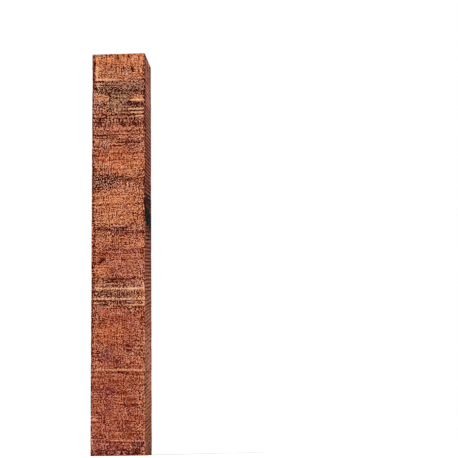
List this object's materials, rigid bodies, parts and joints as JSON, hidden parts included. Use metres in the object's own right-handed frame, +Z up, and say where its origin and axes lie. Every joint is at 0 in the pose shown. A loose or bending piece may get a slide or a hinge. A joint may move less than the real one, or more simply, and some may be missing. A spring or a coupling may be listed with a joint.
{
  "type": "square timber fence post",
  "caption": "Rough-sawn square hardwood post with sawn ends and drying checks, set in the ground to carry fence rails or wire.",
  "frame": {"origin": "middle of the sawn foot end, on the ground it stands on", "axes": "+Z up along the grain to the top end, -Y out of the face that the picture shows from the front, +X out of the side face that it shows at the right"},
  "size_m": [0.2, 0.2, 1.5],
  "materials": {
    "timber": "rough sawn, orange to red-brown, with dark stains and saw marks"
  },
  "bodies": {
    "root": {"post": "timber"}
  },
  "joints": []
}
